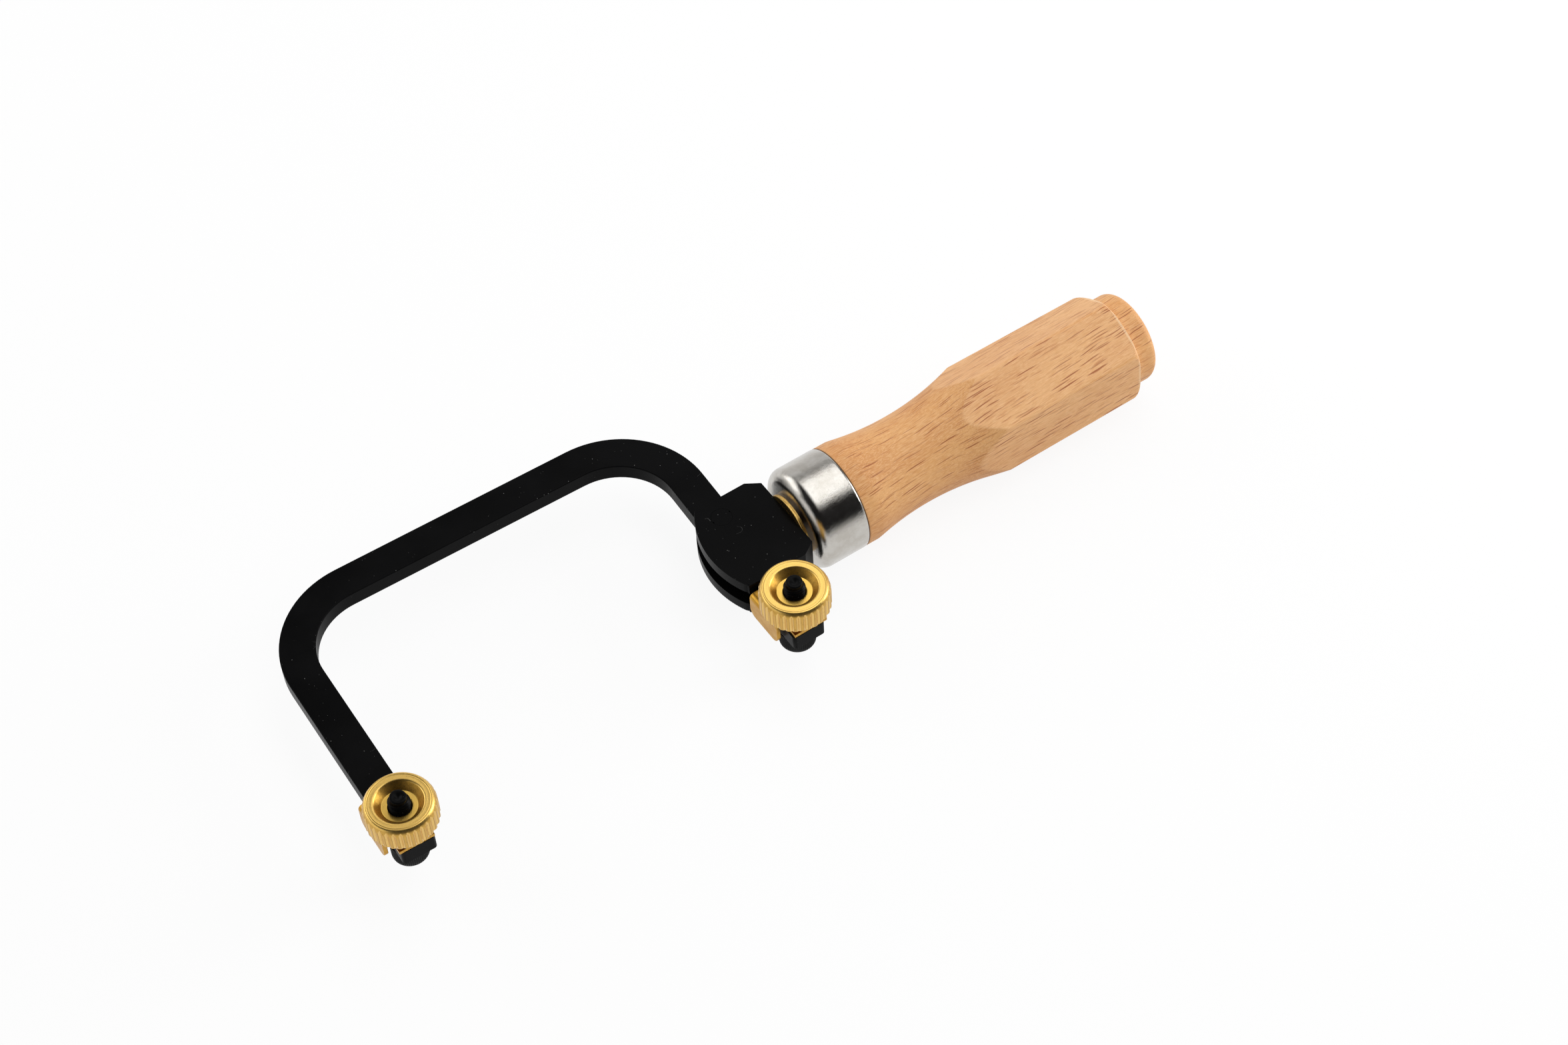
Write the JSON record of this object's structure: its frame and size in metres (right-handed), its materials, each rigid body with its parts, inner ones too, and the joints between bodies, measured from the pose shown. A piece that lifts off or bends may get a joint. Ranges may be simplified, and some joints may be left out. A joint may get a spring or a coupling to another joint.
{
  "type": "jewelers saw",
  "caption": "Jeweller's piercing saw frame: flat bow that swings in a slotted head, thumb nut blade clamps and a turning wooden handle that sets the blade's tension.",
  "frame": {"origin": "centre of the bounding box, at its lowest point below the bow's plane", "axes": "+X along the handle towards its butt, +Y in the bow's plane towards the spine, +Z square to the bow on the side of the thumb nuts"},
  "size_m": [0.263, 0.0958, 0.0344],
  "materials": {
    "blackened_steel": "satin black, fine dust and hair scratches",
    "black_screw": "black oxide",
    "brass": "satin turned and folded brass, dark specks",
    "nickel_plate": "worn bright nickel with a faint orange peel",
    "bright_steel": "plain turned",
    "beech": "oiled beech with short dark flecks"
  },
  "bodies": {
    "head": {"head_block": "blackened_steel", "pivot_pin": "blackened_steel", "spindle_bush": "brass", "rear_cap_screw": "black_screw"},
    "push_pin": {"push_pin": "bright_steel"},
    "handle": {"handle": "beech", "ferrule": "nickel_plate", "spindle": "bright_steel", "anchor_nut": "bright_steel"},
    "bow": {"bow": "blackened_steel", "front_cap_screw": "black_screw"},
    "front_jaw": {"front_jaw": "brass"},
    "front_thumb_nut": {"front_thumb_nut": "brass"},
    "rear_jaw": {"rear_jaw": "brass"},
    "rear_thumb_nut": {"rear_thumb_nut": "brass"}
  },
  "joints": [
    {"name": "spindle_feed", "type": "slide", "parent": "head", "child": "push_pin", "axis": [1, 0, 0], "range_m": [-0.0005, 0.0005]},
    {"name": "handle_turn", "type": "hinge", "parent": "push_pin", "child": "handle", "pos_m": [0.01356, -0.01069, 0.017], "axis": [1, 0, 0], "range_deg": [-180, 180]},
    {"name": "bow_swing", "type": "hinge", "parent": "head", "child": "bow", "pos_m": [-0.00184, -0.00139, 0.017], "axis": [0, 0, 1], "range_deg": [-3.1, 3.1]},
    {"name": "front_jaw_lift", "type": "slide", "parent": "bow", "child": "front_jaw", "axis": [0, 0, 1], "range_m": [0, 0.002]},
    {"name": "front_nut_turn", "type": "hinge", "parent": "front_jaw", "child": "front_thumb_nut", "pos_m": [-0.12171, -0.03535, 0.0195], "axis": [0, 0, 1], "range_deg": [0, 720]},
    {"name": "rear_jaw_lift", "type": "slide", "parent": "head", "child": "rear_jaw", "axis": [0, 0, 1], "range_m": [0, 0.002]},
    {"name": "rear_nut_turn", "type": "hinge", "parent": "rear_jaw", "child": "rear_thumb_nut", "pos_m": [-0.00244, -0.03819, 0.0195], "axis": [0, 0, 1], "range_deg": [0, 720]}
  ],
  "couplings": [
    {"joint": "spindle_feed", "follows": "handle_turn", "m_per_rad": 0.00015915},
    {"joint": "bow_swing", "follows": "handle_turn", "ratio": 0.017113},
    {"joint": "front_nut_turn", "follows": "front_jaw_lift", "rad_per_m": 6283.2},
    {"joint": "rear_nut_turn", "follows": "rear_jaw_lift", "rad_per_m": 6283.2}
  ]
}
